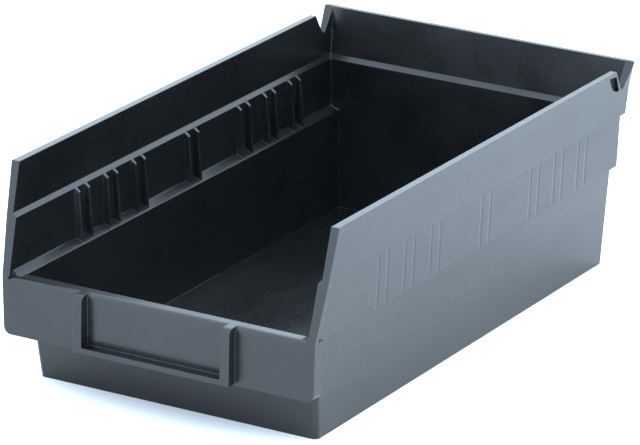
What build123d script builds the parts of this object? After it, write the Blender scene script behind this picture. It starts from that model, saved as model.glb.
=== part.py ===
from build123d import *
import os

os.makedirs("parts", exist_ok=True)

# Millimetres, +Z up, the open hopper front faces -Y.
# The origin is the middle of the overall footprint at the level of the underside.
body_length = 296.3
rail_depth = 4.8
height = 101.6
rear_height = 102.6
face_y = rail_depth - (body_length + rail_depth) / 2

# Levels
floor_thickness = 2.4
panel_bottom = 24.5
ramp_start = 26.0
lip_bottom = 48.8
lower_top = 51.0
lower_ledge = 51.9
lower_ledge_top = 53.9
mid_top = 77.4
upper_ledge = 79.2

# Half widths of the outer face at the foot and the top of each tier
lower_outer = (71.4, 74.3)
mid_outer = (78.6, 79.3)
upper_outer = (81.7, 83.0)
edge_outer_low = 79.1
edge_outer_lip = 79.7
edge_outer_mid = 81.8
edge_outer_top = 83.15

# Half widths of the inner face
lower_inner = (69.4, 71.4)
mid_inner = (76.1, 76.8)
upper_inner = (78.6, 79.1)

# The lower and middle tiers and the whole inside spread this much from front to rear, on each side;
# the outer faces of the upper tier stay parallel
spread = 0.6

# Distances back from the front panel face
lower_front_outer = (18.5, 13.93, 4.75)
lower_front_inner = (20.9, 16.6, 7.0)
side_edge_top = 12.6
edge_depth = 2.8
return_depth = 7.0
panel_thickness = 2.5
return_thickness = 2.8
panel_draft = 0.7
lower_rear_outer = (291.0, 291.7)
mid_rear_outer = (291.7, 292.0)
upper_rear_outer = (294.1, 296.3)
lower_rear_inner = (288.2, 288.5)
mid_rear_inner = (288.5, 288.7)
upper_rear_inner = (291.4, 293.5)

# Corners of the walls
outer_radius = 3.0
tier_radius = 2.5
inner_radius = 1.0
panel_corner_radius = 3.5
lip_radius = 3.0

# Hang notch, ear and hook pocket at the rear of each side wall
notch_start = 277.6
notch_bottom = 283.8
notch_end_radius = 2.5
ear_half_width = 84.15
ear_foot = 91.4
ear_front_foot = 286.5
ear_front_top = 294.0
pocket_depth = 2.0
wall_at_pocket = 82.6

# Divider ribs: pairs of small tapered ribs between the two ledges, each with a sunk band outside
rib_stations = (60.0, 84.0, 108.0, 155.5, 203.0, 227.0, 251.0)
rib_spacing = 8.2
rib_base = 2.4
rib_tip = 0.8
rib_reach_low = 3.7
rib_reach_high = 2.2
rib_drop = 1.7
groove_radius = 9.0
groove_depth = 0.10

# Label holder on the front panel
rail_inner = 35.4
rail_outer = 39.9
rail_bottom = 25.5
bottom_rail_top = 28.0

REACH = 400.0


def at(distance):
    """Y coordinate of a distance measured back from the front panel face."""
    return face_y + distance


def line_at(z, low_z, high_z, low, high):
    """Value on the straight line from (low_z, low) to (high_z, high) at height z."""
    return low + (high - low) * (z - low_z) / (high_z - low_z)


def nearest_corner(outline, first, second):
    """Corner of a sketch nearest to a point given in the sketch's own plane."""
    return outline.vertices().sort_by_distance((first, second, 0))[0]


def plan(z, front, rear, half_width, front_radius, rear_radius, rear_spread=spread):
    """Plan outline at height z, a little wider at the rear, with rounded corners."""
    with BuildSketch(Plane.XY.offset(z)) as outline:
        with BuildLine():
            Polyline(
                (-half_width, at(front)),
                (half_width, at(front)),
                (half_width + rear_spread, at(rear)),
                (-half_width - rear_spread, at(rear)),
                close=True,
            )
        make_face()
        rows = outline.vertices().group_by(Axis.Y)
        if front_radius:
            fillet(rows[0], front_radius)
        if rear_radius:
            fillet(rows[-1], rear_radius)
    return outline.sketch


def side_zone(points, x_from=-REACH, x_to=REACH):
    """Block whose side outline is given as (distance back, height) points."""
    with BuildPart() as zone:
        with BuildSketch(Plane.YZ.offset(x_from)):
            with BuildLine():
                Polyline(*[(at(y), z) for y, z in points], close=True)
            make_face()
        extrude(amount=x_to - x_from)
    return zone.part


def half_zone(side):
    """Everything on one side of the middle plane."""
    with BuildPart() as zone:
        with BuildSketch(Plane.YZ):
            Rectangle(2 * REACH, 2 * REACH)
        extrude(amount=side * REACH)
    return zone.part


# Cutting zones shared by the pieces
left_half = half_zone(-1)
right_half = half_zone(1)

front_line = [
    (lower_front_inner[0], floor_thickness),
    (lower_front_inner[1], ramp_start),
    (line_at(lip_bottom, ramp_start, lower_ledge, *lower_front_inner[1:]), lip_bottom),
    (line_at(lower_top, ramp_start, lower_ledge, *lower_front_inner[1:]), lower_top),
]
rear_at_lower_top = line_at(lower_top, floor_thickness, lower_ledge, *lower_rear_inner)
rear_at_ledge_top = line_at(lower_ledge_top, lower_ledge, mid_top, *mid_rear_inner)
lower_rear_line = [(lower_rear_inner[0], floor_thickness), (rear_at_lower_top, lower_top)]
ledge_rear_line = [
    (rear_at_lower_top, lower_top),
    (mid_rear_inner[0], lower_ledge),
    (rear_at_ledge_top, lower_ledge_top),
]
mid_rear_line = [(rear_at_ledge_top, lower_ledge_top), (mid_rear_inner[1], mid_top)]
upper_ledge_rear_line = [(mid_rear_inner[1], mid_top), (upper_rear_inner[0], upper_ledge)]
rear_at_height = line_at(height, upper_ledge, rear_height, *upper_rear_inner)
upper_rear_line = [(upper_rear_inner[0], upper_ledge), (rear_at_height, height)]

lower_front_zone = side_zone([(-50, floor_thickness), front_line[0], front_line[1], (-50, ramp_start)])
ramp_zone = side_zone([(-50, ramp_start), front_line[1], front_line[2], (-50, lip_bottom)])
lower_side_zone = side_zone(front_line + lower_rear_line[::-1])
lower_back_zone = side_zone(lower_rear_line + [(REACH, lower_top), (REACH, floor_thickness)])
mid_back_zone = side_zone(ledge_rear_line + [mid_rear_line[1], (REACH, mid_top), (REACH, lower_top)])
upper_ledge_back_zone = side_zone(upper_ledge_rear_line + [(REACH, upper_ledge), (REACH, mid_top)])
upper_back_zone = side_zone(
    [
        (upper_rear_inner[0], upper_ledge),
        (upper_rear_inner[1], rear_height),
        (REACH, rear_height),
        (REACH, upper_ledge),
    ]
)


def edge_line(z, extra=0.0):
    """Point on the raked front edge of the side walls at height z."""
    return (extra + side_edge_top * (z - lower_ledge) / (height - lower_ledge), z)


edge_zone = side_zone(
    [
        edge_line(lower_ledge),
        edge_line(lower_ledge, edge_depth),
        edge_line(height, edge_depth),
        edge_line(height),
    ]
)
lower_ledge_zone = side_zone(
    [
        (return_depth, lower_top),
        (return_depth, lower_ledge),
        edge_line(lower_ledge, edge_depth),
        edge_line(lower_ledge_top, edge_depth),
    ]
    + ledge_rear_line[::-1]
)
mid_side_zone = side_zone(
    [edge_line(lower_ledge_top, edge_depth), edge_line(mid_top, edge_depth)] + mid_rear_line[::-1]
)
upper_ledge_zone = side_zone(
    [edge_line(mid_top, edge_depth), edge_line(upper_ledge, edge_depth)] + upper_ledge_rear_line[::-1]
)
upper_side_zone = side_zone(
    [edge_line(upper_ledge, edge_depth), edge_line(height, edge_depth)] + upper_rear_line[::-1]
)

# Lower tier: the box that carries the floor
lower_sections = [
    plan(0, lower_front_outer[0], lower_rear_outer[0], lower_outer[0], tier_radius, tier_radius),
    plan(
        ramp_start,
        lower_front_outer[1],
        line_at(ramp_start, 0, lower_top, *lower_rear_outer),
        line_at(ramp_start, 0, lower_top, *lower_outer),
        tier_radius,
        tier_radius,
    ),
    plan(lower_top, lower_front_outer[2], lower_rear_outer[1], lower_outer[1], tier_radius, tier_radius),
]
lower_cavity_sections = [
    plan(
        floor_thickness,
        lower_front_inner[0],
        lower_rear_inner[0],
        lower_inner[0],
        inner_radius,
        inner_radius,
    ),
    plan(
        ramp_start,
        lower_front_inner[1],
        line_at(ramp_start, floor_thickness, lower_ledge, *lower_rear_inner),
        line_at(ramp_start, floor_thickness, lower_ledge, *lower_inner),
        inner_radius,
        inner_radius,
    ),
    plan(
        lower_ledge,
        lower_front_inner[2],
        lower_rear_inner[1],
        lower_inner[1],
        inner_radius,
        inner_radius,
    ),
]
with BuildPart() as lower_block:
    loft(sections=lower_sections, ruled=True)
with BuildPart() as lower_cavity:
    loft(sections=lower_cavity_sections, ruled=True)

# Middle tier: wider by a sloping ledge on both sides
with BuildPart() as mid_block:
    loft(
        sections=[
            plan(lower_top, 0, mid_rear_outer[0], mid_outer[0], 0, tier_radius),
            plan(mid_top, 0, mid_rear_outer[1], mid_outer[1], 0, tier_radius),
        ]
    )
    for side in (-1, 1):
        for station in rib_stations:
            for offset in (-rib_spacing / 2, rib_spacing / 2):
                share = (station + offset) / mid_rear_outer[0]
                for z, half_width in ((lower_top, mid_outer[0]), (mid_top, mid_outer[1])):
                    centre = half_width + share * spread + groove_radius - groove_depth
                    with BuildSketch(Plane.XY.offset(z)):
                        with Locations((side * centre, at(station + offset))):
                            Circle(groove_radius)
                loft(mode=Mode.SUBTRACT)
with BuildPart() as mid_cavity:
    loft(
        sections=[
            plan(lower_ledge, -10, mid_rear_inner[0], lower_inner[1], 0, inner_radius),
            plan(lower_ledge_top, -10, rear_at_ledge_top, mid_inner[0], 0, inner_radius),
            plan(mid_top, -10, mid_rear_inner[1], mid_inner[1], 0, inner_radius),
        ],
        ruled=True,
    )

# Upper tier: wider by a second sloping ledge on both sides and at the rear
upper_rear_at_ear = line_at(ear_foot, mid_top, rear_height, *upper_rear_outer)
upper_side_at_ear = line_at(ear_foot, mid_top, rear_height, *upper_outer)
with BuildPart() as upper_block:
    loft(
        sections=[
            plan(mid_top, 0, upper_rear_outer[0], upper_outer[0], 0, outer_radius, 0),
            plan(rear_height, 0, upper_rear_outer[1], upper_outer[1], 0, outer_radius, 0),
        ]
    )
with BuildPart() as upper_cavity:
    loft(
        sections=[
            plan(mid_top, -10, mid_rear_inner[1], mid_inner[1], 0, inner_radius),
            plan(upper_ledge, -10, upper_rear_inner[0], upper_inner[0], 0, inner_radius),
            plan(rear_height, -10, upper_rear_inner[1], upper_inner[1], 0, inner_radius),
        ],
        ruled=True,
    )
with BuildPart() as ear_block:
    loft(
        sections=[
            plan(ear_foot, 0, upper_rear_at_ear, upper_side_at_ear, 0, outer_radius, 0),
            plan(rear_height, 0, upper_rear_outer[1], ear_half_width, 0, outer_radius, 0),
        ]
    )

# Front flange outline: one smooth outer line past both steps
with BuildPart() as edge_block:
    loft(
        sections=[
            plan(lower_ledge, -10, 40, edge_outer_lip, 0, 0, 0),
            plan(mid_top, -10, 40, edge_outer_mid, 0, 0, 0),
            plan(height, -10, 40, edge_outer_top, 0, 0, 0),
        ],
        ruled=True,
    )

# Rear end of the side walls: front slope and floor of the notch
with BuildPart() as notch_zone:
    with BuildSketch(Plane.YZ.offset(-REACH)) as notch_outline:
        with BuildLine():
            Polyline(
                (at(notch_start), height + 20),
                (at(notch_start), height),
                (at(notch_bottom), ear_foot),
                (REACH, ear_foot),
                (REACH, height + 20),
                close=True,
            )
        make_face()
        fillet(nearest_corner(notch_outline, at(notch_start), height), notch_end_radius)
    extrude(amount=2 * REACH)
notch_cut = notch_zone.part

# --- floor -----------------------------------------------------------------
with BuildPart() as floor:
    add(lower_block.part)
    with BuildSketch(Plane.XY.offset(floor_thickness)):
        Rectangle(2 * REACH, 2 * REACH)
    extrude(amount=REACH, mode=Mode.SUBTRACT)
floor.part.label = "floor"
export_step(floor.part, "parts/floor.step")

# --- lower walls -----------------------------------------------------------
with BuildPart() as lower_wall_front:
    add(lower_block.part)
    add(lower_cavity.part, mode=Mode.SUBTRACT)
    add(lower_front_zone, mode=Mode.INTERSECT)
lower_wall_front.part.label = "lower_wall_front"
export_step(lower_wall_front.part, "parts/lower_wall_front.step")

with BuildPart() as front_ramp:
    add(lower_block.part)
    add(lower_cavity.part, mode=Mode.SUBTRACT)
    add(ramp_zone, mode=Mode.INTERSECT)
front_ramp.part.label = "front_ramp"
export_step(front_ramp.part, "parts/front_ramp.step")

with BuildPart() as lower_wall_back:
    add(lower_block.part)
    add(lower_cavity.part, mode=Mode.SUBTRACT)
    add(lower_back_zone, mode=Mode.INTERSECT)
lower_wall_back.part.label = "lower_wall_back"
export_step(lower_wall_back.part, "parts/lower_wall_back.step")

for side_name, half in (("left", left_half), ("right", right_half)):
    with BuildPart() as lower_wall:
        add(lower_block.part)
        add(lower_cavity.part, mode=Mode.SUBTRACT)
        add(lower_side_zone, mode=Mode.INTERSECT)
        add(half, mode=Mode.INTERSECT)
    lower_wall.part.label = "lower_wall_" + side_name
    export_step(lower_wall.part, "parts/lower_wall_" + side_name + ".step")

# --- front panel with its two returns, and the lip above it ------------------
with BuildPart() as skirt:
    with BuildSketch(Plane.XZ.offset(-at(0))) as skirt_outline:
        with BuildLine():
            Polyline(
                (-edge_outer_low, panel_bottom),
                (edge_outer_low, panel_bottom),
                (edge_outer_lip, lower_ledge),
                (-edge_outer_lip, lower_ledge),
                close=True,
            )
        make_face()
        fillet(skirt_outline.vertices().group_by(Axis.Y)[0], panel_corner_radius)
    extrude(amount=-return_depth)
lip_half_length = edge_outer_lip - return_thickness

with BuildPart() as front_panel:
    add(skirt.part)
    add(
        side_zone(
            [
                (0, lip_bottom),
                (panel_draft, panel_bottom),
                (panel_draft + panel_thickness, panel_bottom),
                (panel_thickness, lip_bottom),
            ]
        ),
        mode=Mode.INTERSECT,
    )
front_panel.part.label = "front_panel"
export_step(front_panel.part, "parts/front_panel.step")

with BuildPart() as front_lip:
    with BuildSketch(Plane.YZ.offset(-lip_half_length)) as lip_outline:
        with BuildLine():
            Polyline(
                (at(0), lip_bottom),
                (at(0), lower_ledge),
                (at(lower_front_inner[2]), lower_ledge),
                (at(front_line[2][0]), lip_bottom),
                close=True,
            )
        make_face()
        fillet(nearest_corner(lip_outline, at(0), lower_ledge), lip_radius)
    extrude(amount=2 * lip_half_length)
front_lip.part.label = "front_lip"
export_step(front_lip.part, "parts/front_lip.step")

for side_name, half in (("left", left_half), ("right", right_half)):
    with BuildPart() as panel_side:
        add(skirt.part)
        with BuildSketch(Plane.XY.offset(panel_bottom - 1)):
            Rectangle(2 * lip_half_length, 2 * REACH)
        extrude(amount=height, mode=Mode.SUBTRACT)
        add(front_panel.part, mode=Mode.SUBTRACT)
        add(
            side_zone(
                [
                    (0, lower_ledge),
                    (0, lip_bottom),
                    (panel_draft, panel_bottom),
                    (return_depth, panel_bottom),
                    (return_depth, lower_ledge),
                ]
            ),
            mode=Mode.INTERSECT,
        )
        add(half, mode=Mode.INTERSECT)
    panel_side.part.label = "panel_side_" + side_name
    export_step(panel_side.part, "parts/panel_side_" + side_name + ".step")

# --- label holder: three rails open at the top -------------------------------
for side_name, side in (("left", -1), ("right", 1)):
    with BuildPart() as label_rail:
        with BuildSketch(Plane.YZ.offset(side * rail_inner)) as rail_outline:
            with BuildLine():
                Polyline(
                    (at(-rail_depth), rail_bottom),
                    (at(-rail_depth), lower_ledge),
                    (at(lip_radius), lower_ledge),
                    (at(lip_radius), rail_bottom),
                    close=True,
                )
            make_face()
            fillet(nearest_corner(rail_outline, at(-rail_depth), lower_ledge), lip_radius)
        extrude(amount=side * (rail_outer - rail_inner))
        add(front_panel.part, mode=Mode.SUBTRACT)
        add(front_lip.part, mode=Mode.SUBTRACT)
        add(
            side_zone(
                [
                    (-20, 0),
                    (-20, height),
                    (lip_radius, height),
                    (lip_radius, lip_bottom),
                    (panel_thickness / 2, lip_bottom),
                    (panel_thickness / 2, 0),
                ]
            ),
            mode=Mode.INTERSECT,
        )
    label_rail.part.label = "label_rail_" + side_name
    export_step(label_rail.part, "parts/label_rail_" + side_name + ".step")

with BuildPart() as label_rail_bottom:
    with BuildSketch(Plane.YZ.offset(-rail_inner)):
        with BuildLine():
            Polyline(
                (at(-rail_depth), rail_bottom),
                (at(-rail_depth), bottom_rail_top),
                (at(panel_draft), bottom_rail_top),
                (at(panel_draft), rail_bottom),
                close=True,
            )
        make_face()
    extrude(amount=2 * rail_inner)
    add(front_panel.part, mode=Mode.SUBTRACT)
label_rail_bottom.part.label = "label_rail_bottom"
export_step(label_rail_bottom.part, "parts/label_rail_bottom.step")

# --- middle walls ------------------------------------------------------------
with BuildPart() as mid_wall_back:
    add(mid_block.part)
    add(lower_cavity.part, mode=Mode.SUBTRACT)
    add(mid_cavity.part, mode=Mode.SUBTRACT)
    add(mid_back_zone, mode=Mode.INTERSECT)
mid_wall_back.part.label = "mid_wall_back"
export_step(mid_wall_back.part, "parts/mid_wall_back.step")

for side_name, half in (("left", left_half), ("right", right_half)):
    with BuildPart() as lower_ledge_strip:
        add(mid_block.part)
        add(lower_cavity.part, mode=Mode.SUBTRACT)
        add(mid_cavity.part, mode=Mode.SUBTRACT)
        add(lower_ledge_zone, mode=Mode.INTERSECT)
        add(half, mode=Mode.INTERSECT)
        add(front_lip.part, mode=Mode.SUBTRACT)
    lower_ledge_strip.part.label = "lower_ledge_" + side_name
    export_step(lower_ledge_strip.part, "parts/lower_ledge_" + side_name + ".step")

    with BuildPart() as mid_wall:
        add(mid_block.part)
        add(mid_cavity.part, mode=Mode.SUBTRACT)
        add(mid_side_zone, mode=Mode.INTERSECT)
        add(half, mode=Mode.INTERSECT)
    mid_wall.part.label = "mid_wall_" + side_name
    export_step(mid_wall.part, "parts/mid_wall_" + side_name + ".step")

# --- divider ribs --------------------------------------------------------------
rib_edge = mid_inner[0] - rib_reach_low
rib_top_edge = mid_inner[1] - rib_reach_high
rib_root = mid_inner[1] + 2
for side_name, side in (("left", -1), ("right", 1)):
    with BuildPart() as divider_ribs:
        for station in rib_stations:
            for offset in (-rib_spacing / 2, rib_spacing / 2):
                with BuildSketch(Plane.XY.offset(lower_ledge)):
                    with BuildLine():
                        Polyline(
                            (side * rib_root, at(station + offset - rib_base / 2)),
                            (side * rib_edge, at(station + offset - rib_tip / 2)),
                            (side * rib_edge, at(station + offset + rib_tip / 2)),
                            (side * rib_root, at(station + offset + rib_base / 2)),
                            close=True,
                        )
                    make_face()
                extrude(amount=mid_top - lower_ledge)
        with BuildSketch(Plane.XZ.offset(REACH)):
            with BuildLine():
                Polyline(
                    (side * rib_edge, lower_ledge),
                    (side * rib_top_edge, mid_top - rib_drop),
                    (side * mid_inner[1], mid_top),
                    (side * rib_root, mid_top),
                    (side * rib_root, lower_ledge),
                    close=True,
                )
            make_face()
        extrude(amount=-2 * REACH, mode=Mode.INTERSECT)
        add(mid_cavity.part, mode=Mode.INTERSECT)
    divider_ribs.part.label = "divider_ribs_" + side_name
    export_step(divider_ribs.part, "parts/divider_ribs_" + side_name + ".step")

# --- upper walls, front flanges, back wall and hang ears --------------------------
for side_name, side, half in (("left", -1, left_half), ("right", 1, right_half)):
    with BuildPart() as upper_ledge_strip:
        add(upper_block.part)
        add(upper_cavity.part, mode=Mode.SUBTRACT)
        add(upper_ledge_zone, mode=Mode.INTERSECT)
        add(half, mode=Mode.INTERSECT)
    upper_ledge_strip.part.label = "upper_ledge_" + side_name
    export_step(upper_ledge_strip.part, "parts/upper_ledge_" + side_name + ".step")

    with BuildPart() as upper_wall:
        add(upper_block.part)
        add(upper_cavity.part, mode=Mode.SUBTRACT)
        add(upper_side_zone, mode=Mode.INTERSECT)
        add(half, mode=Mode.INTERSECT)
        add(notch_cut, mode=Mode.SUBTRACT)
        with BuildSketch(Plane.YZ.offset(side * (wall_at_pocket - pocket_depth))):
            with BuildLine():
                Polyline((at(282.0), 91.2), (at(280.0), 95.4), (at(278.0), 99.2), (at(270.4), 100.0))
                Spline((at(270.4), 100.0), (at(271.7), 97.0), (at(275.0), 93.4), (at(282.0), 91.2))
            make_face()
        extrude(amount=side * 10, mode=Mode.SUBTRACT)
    upper_wall.part.label = "upper_wall_" + side_name
    export_step(upper_wall.part, "parts/upper_wall_" + side_name + ".step")

    with BuildPart() as front_flange:
        add(edge_block.part)
        with BuildSketch(Plane.XY.offset(lower_ledge - 1)):
            Rectangle(2 * mid_inner[0], 2 * REACH)
        extrude(amount=height, mode=Mode.SUBTRACT)
        add(mid_cavity.part, mode=Mode.SUBTRACT)
        add(upper_cavity.part, mode=Mode.SUBTRACT)
        add(edge_zone, mode=Mode.INTERSECT)
        add(half, mode=Mode.INTERSECT)
    front_flange.part.label = "front_flange_" + side_name
    export_step(front_flange.part, "parts/front_flange_" + side_name + ".step")

ear_inner = line_at(ear_foot, upper_ledge, rear_height, *upper_inner) + spread
with BuildPart() as upper_ledge_back:
    add(upper_block.part)
    add(upper_cavity.part, mode=Mode.SUBTRACT)
    add(upper_ledge_back_zone, mode=Mode.INTERSECT)
upper_ledge_back.part.label = "upper_ledge_back"
export_step(upper_ledge_back.part, "parts/upper_ledge_back.step")

with BuildPart() as upper_wall_back:
    add(upper_block.part)
    add(upper_cavity.part, mode=Mode.SUBTRACT)
    add(upper_back_zone, mode=Mode.INTERSECT)
    with BuildSketch(Plane.XY.offset(ear_foot)):
        with GridLocations(2 * (ear_inner + REACH / 2), 0, 2, 1):
            Rectangle(REACH, 2 * REACH)
    extrude(amount=REACH, mode=Mode.SUBTRACT)
upper_wall_back.part.label = "upper_wall_back"
export_step(upper_wall_back.part, "parts/upper_wall_back.step")

ear_line = [
    (ear_front_foot, ear_foot),
    (ear_front_top, rear_height),
    (REACH, rear_height),
    (REACH, ear_foot),
]
for side_name, x_from, x_to in (("left", -REACH, -ear_inner), ("right", ear_inner, REACH)):
    with BuildPart() as hang_ear:
        add(ear_block.part)
        add(side_zone(ear_line, x_from, x_to), mode=Mode.INTERSECT)
    hang_ear.part.label = "hang_ear_" + side_name
    export_step(hang_ear.part, "parts/hang_ear_" + side_name + ".step")
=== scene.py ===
import math
import bmesh
import bpy
from mathutils import Matrix, Vector


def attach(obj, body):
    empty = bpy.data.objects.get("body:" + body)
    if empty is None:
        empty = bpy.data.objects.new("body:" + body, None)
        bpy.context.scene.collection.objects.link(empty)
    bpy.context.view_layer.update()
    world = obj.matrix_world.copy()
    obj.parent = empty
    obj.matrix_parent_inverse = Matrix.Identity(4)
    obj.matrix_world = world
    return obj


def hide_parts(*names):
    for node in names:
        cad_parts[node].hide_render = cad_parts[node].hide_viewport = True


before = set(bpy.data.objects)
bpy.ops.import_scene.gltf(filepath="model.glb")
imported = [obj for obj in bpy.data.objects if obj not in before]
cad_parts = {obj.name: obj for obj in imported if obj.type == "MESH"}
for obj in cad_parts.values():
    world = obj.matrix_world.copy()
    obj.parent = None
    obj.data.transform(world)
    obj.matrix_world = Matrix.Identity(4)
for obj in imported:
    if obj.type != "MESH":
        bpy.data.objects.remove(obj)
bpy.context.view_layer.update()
scene = bpy.context.scene

# Metres, in the frame of the CAD model: +Z up, the open front faces -Y
LENS_MM = 283.8
CAMERA_PLACE = (1.0671, -1.9084, 0.8126)
CAMERA_FORWARD = (-0.46109, 0.82389, -0.32956)
CAMERA_RIGHT = (0.86848, 0.49519, 0.02287)

# Mesh clean-up of each node before the union, and of the union: merge distance, flat angle
NODE_MERGE, NODE_FLAT = 1e-6, math.radians(0.2)
UNION_MERGE, UNION_FLAT = 2e-6, math.radians(0.3)

# Plastic
EDGE_RADIUS = 0.0005
WORN_RADIUS = 0.0010
DARK_TONE = (0.0040, 0.0040, 0.0042, 1.0)
PALE_TONE = (0.0075, 0.0077, 0.0080, 1.0)
RUBBED_TONE = (0.030, 0.032, 0.034, 1.0)
SMOOTHEST, ROUGHEST = 0.22, 0.34

# Studio
FLOOR_TONE = (0.93, 0.93, 0.93, 1.0)
FLOOR_HALF_WIDTH = 6.0
SKY_TONE = (0.82, 1.0, 1.18, 1.0)
SKY_STRENGTH = 2.9
KEY_PLACE = (1.2, 0.5, 1.6)
KEY_TARGET = (0, 0, 0.05)
KEY_SIDE = 1.6
KEY_WATTS = 5.0


# ---------------------------------------------------------------- camera
def aimed(origin, forward, right):
    """World matrix of a camera or light at origin that looks along forward."""
    z = -Vector(forward).normalized()
    x = Vector(right).normalized()
    y = z.cross(x).normalized()
    x = y.cross(z).normalized()
    turn = Matrix((x, y, z)).transposed().to_4x4()
    return Matrix.Translation(Vector(origin)) @ turn


camera_data = bpy.data.cameras.new("camera")
camera_data.sensor_width = 36.0
camera_data.lens = LENS_MM
camera_data.clip_start = 0.05
camera_data.clip_end = 20.0
camera = bpy.data.objects.new("camera", camera_data)
camera.matrix_world = aimed(CAMERA_PLACE, CAMERA_FORWARD, CAMERA_RIGHT)
scene.collection.objects.link(camera)
scene.camera = camera


# ---------------------------------------------------------------- the moulding
def cleaned(data, merge_distance, flat_angle, face_outward=False):
    """Merge doubled vertices of a mesh and dissolve the edges inside its flat faces."""
    mesh = bmesh.new()
    mesh.from_mesh(data)
    bmesh.ops.remove_doubles(mesh, verts=mesh.verts, dist=merge_distance)
    bmesh.ops.dissolve_limit(mesh, angle_limit=flat_angle, verts=mesh.verts, edges=mesh.edges)
    if face_outward:
        bmesh.ops.recalc_face_normals(mesh, faces=mesh.faces)
    mesh.to_mesh(data)
    mesh.free()


def joined_moulding(name, nodes):
    """One mesh: the union of copies of CAD nodes that meet face to face."""
    copies = []
    for node in nodes:
        copy = bpy.data.objects.new(name + "_" + node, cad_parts[node].data.copy())
        scene.collection.objects.link(copy)
        cleaned(copy.data, NODE_MERGE, NODE_FLAT)
        copies.append(copy)
    body = copies[0]
    others = bpy.data.collections.new(name + "_parts")
    scene.collection.children.link(others)
    for copy in copies[1:]:
        scene.collection.objects.unlink(copy)
        others.objects.link(copy)
    union = body.modifiers.new("union", "BOOLEAN")
    union.operation = "UNION"
    union.solver = "EXACT"
    union.operand_type = "COLLECTION"
    union.collection = others
    bpy.context.view_layer.update()
    evaluated = body.evaluated_get(bpy.context.evaluated_depsgraph_get())
    data = bpy.data.meshes.new_from_object(evaluated)
    for copy in copies:
        bpy.data.objects.remove(copy)
    bpy.data.collections.remove(others)
    cleaned(data, UNION_MERGE, UNION_FLAT, face_outward=True)
    data.materials.clear()
    piece = bpy.data.objects.new(name, data)
    scene.collection.objects.link(piece)
    return piece


all_nodes = sorted(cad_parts)
moulding = joined_moulding("bin_moulding", all_nodes)


# ---------------------------------------------------------------- plastic
def node_of(tree, kind, **settings):
    node = tree.nodes.new(kind)
    for key, value in settings.items():
        setattr(node, key, value)
    return node


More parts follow.
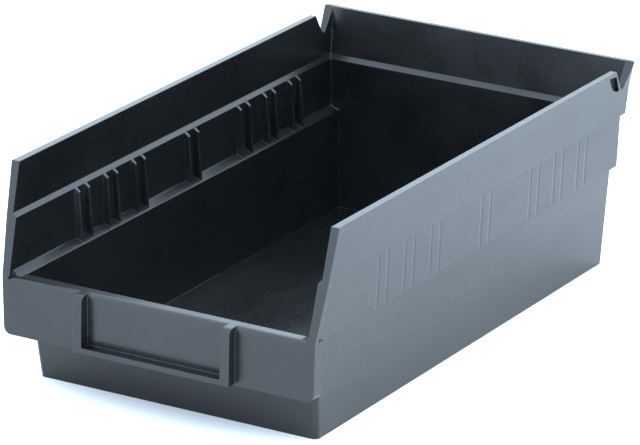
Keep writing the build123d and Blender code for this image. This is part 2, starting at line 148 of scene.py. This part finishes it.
def black_plastic(name):
    """Semi-gloss moulded black polymer: fine grain, faint flow streaks, rubbed edges."""
    material = bpy.data.materials.new(name)
    material.use_nodes = True
    tree = material.node_tree
    tree.nodes.clear()
    link = tree.links.new
    output = node_of(tree, "ShaderNodeOutputMaterial")
    shader = node_of(tree, "ShaderNodeBsdfPrincipled")
    shader.inputs["IOR"].default_value = 1.5
    link(shader.outputs["BSDF"], output.inputs["Surface"])

    place = node_of(tree, "ShaderNodeTexCoord")

    def noise(scale, detail=2.0, stretch=(1.0, 1.0, 1.0)):
        mapping = node_of(tree, "ShaderNodeMapping")
        mapping.inputs["Scale"].default_value = stretch
        link(place.outputs["Object"], mapping.inputs["Vector"])
        texture = node_of(tree, "ShaderNodeTexNoise")
        texture.inputs["Scale"].default_value = scale
        texture.inputs["Detail"].default_value = detail
        link(mapping.outputs["Vector"], texture.inputs["Vector"])
        return texture.outputs["Fac"]

    def ranged(value, low, high, from_low=0.3, from_high=0.7):
        node = node_of(tree, "ShaderNodeMapRange")
        node.inputs["From Min"].default_value = from_low
        node.inputs["From Max"].default_value = from_high
        node.inputs["To Min"].default_value = low
        node.inputs["To Max"].default_value = high
        link(value, node.inputs["Value"])
        return node.outputs["Result"]

    def math_node(operation, first, second):
        node = node_of(tree, "ShaderNodeMath", operation=operation)
        for socket, value in zip(node.inputs, (first, second)):
            if isinstance(value, (int, float)):
                socket.default_value = value
            else:
                link(value, socket)
        return node.outputs["Value"]

    # Rounded normals along the moulded edges, and a rubbed edge mask from a wider bevel
    bevel = node_of(tree, "ShaderNodeBevel", samples=8)
    bevel.inputs["Radius"].default_value = EDGE_RADIUS
    wide_bevel = node_of(tree, "ShaderNodeBevel", samples=8)
    wide_bevel.inputs["Radius"].default_value = WORN_RADIUS
    geometry = node_of(tree, "ShaderNodeNewGeometry")
    alike = node_of(tree, "ShaderNodeVectorMath", operation="DOT_PRODUCT")
    link(wide_bevel.outputs["Normal"], alike.inputs[0])
    link(geometry.outputs["Normal"], alike.inputs[1])
    edge = ranged(alike.outputs["Value"], 1.0, 0.0, 0.80, 0.99)
    wear = math_node("MULTIPLY", edge, ranged(noise(160.0, 4.0), 0.0, 1.0, 0.42, 0.62))

    # Colour: near-black with slow blotches and paler rubbed edges
    tone = node_of(tree, "ShaderNodeMix", data_type="RGBA")
    tone.inputs["A"].default_value = DARK_TONE
    tone.inputs["B"].default_value = PALE_TONE
    link(ranged(noise(22.0, 5.0), 0.0, 1.0), tone.inputs["Factor"])
    rubbed = node_of(tree, "ShaderNodeMix", data_type="RGBA")
    rubbed.inputs["B"].default_value = RUBBED_TONE
    link(tone.outputs["Result"], rubbed.inputs["A"])
    link(math_node("MULTIPLY", wear, 0.55), rubbed.inputs["Factor"])
    link(rubbed.outputs["Result"], shader.inputs["Base Color"])

    # Roughness: satin, with streaks of flow along the length
    streak = noise(26.0, 6.0, (1.6, 0.22, 1.6))
    rough = ranged(streak, SMOOTHEST, ROUGHEST)
    rough = math_node("ADD", rough, ranged(noise(420.0, 3.0), -0.02, 0.03))
    rough = math_node("ADD", rough, math_node("MULTIPLY", wear, 0.12))
    link(rough, shader.inputs["Roughness"])

    # Bump: fine moulded grain over faint waviness
    grain = node_of(tree, "ShaderNodeBump")
    grain.inputs["Strength"].default_value = 0.05
    grain.inputs["Distance"].default_value = 0.0002
    link(noise(1500.0, 3.0), grain.inputs["Height"])
    link(bevel.outputs["Normal"], grain.inputs["Normal"])
    wave = node_of(tree, "ShaderNodeBump")
    wave.inputs["Strength"].default_value = 0.30
    wave.inputs["Distance"].default_value = 0.0006
    link(noise(14.0, 3.0, (1.0, 0.45, 1.0)), wave.inputs["Height"])
    link(grain.outputs["Normal"], wave.inputs["Normal"])
    link(wave.outputs["Normal"], shader.inputs["Normal"])
    return material


plastic = black_plastic("bin_plastic")
moulding.data.materials.append(plastic)
moulding.data.shade_flat()
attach(moulding, "root")
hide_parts(*all_nodes)


# ---------------------------------------------------------------- floor and light
def plain_material(name, colour, roughness):
    material = bpy.data.materials.new(name)
    material.use_nodes = True
    shader = material.node_tree.nodes["Principled BSDF"]
    shader.inputs["Base Color"].default_value = colour
    shader.inputs["Roughness"].default_value = roughness
    shader.inputs["Specular IOR Level"].default_value = 0.1
    return material


floor_mesh = bmesh.new()
bmesh.ops.create_grid(floor_mesh, x_segments=2, y_segments=2, size=FLOOR_HALF_WIDTH)
floor_data = bpy.data.meshes.new("studio_floor")
floor_mesh.to_mesh(floor_data)
floor_mesh.free()
floor = bpy.data.objects.new("studio_floor", floor_data)
floor.data.materials.append(plain_material("studio_paper", FLOOR_TONE, 0.9))
scene.collection.objects.link(floor)

world = bpy.data.worlds.new("studio")
world.use_nodes = True
background = world.node_tree.nodes["Background"]
background.inputs["Color"].default_value = SKY_TONE
background.inputs["Strength"].default_value = SKY_STRENGTH
scene.world = world


def softbox(name, position, target, side, power):
    """White square area light at position, aimed at target."""
    data = bpy.data.lights.new(name, "AREA")
    data.shape = "SQUARE"
    data.size = side
    data.energy = power
    light = bpy.data.objects.new(name, data)
    forward = Vector(target) - Vector(position)
    right = forward.cross(Vector((0, 0, 1)))
    light.matrix_world = aimed(position, forward, right)
    scene.collection.objects.link(light)


softbox("key", KEY_PLACE, KEY_TARGET, KEY_SIDE, KEY_WATTS)

scene.view_settings.view_transform = "Standard"
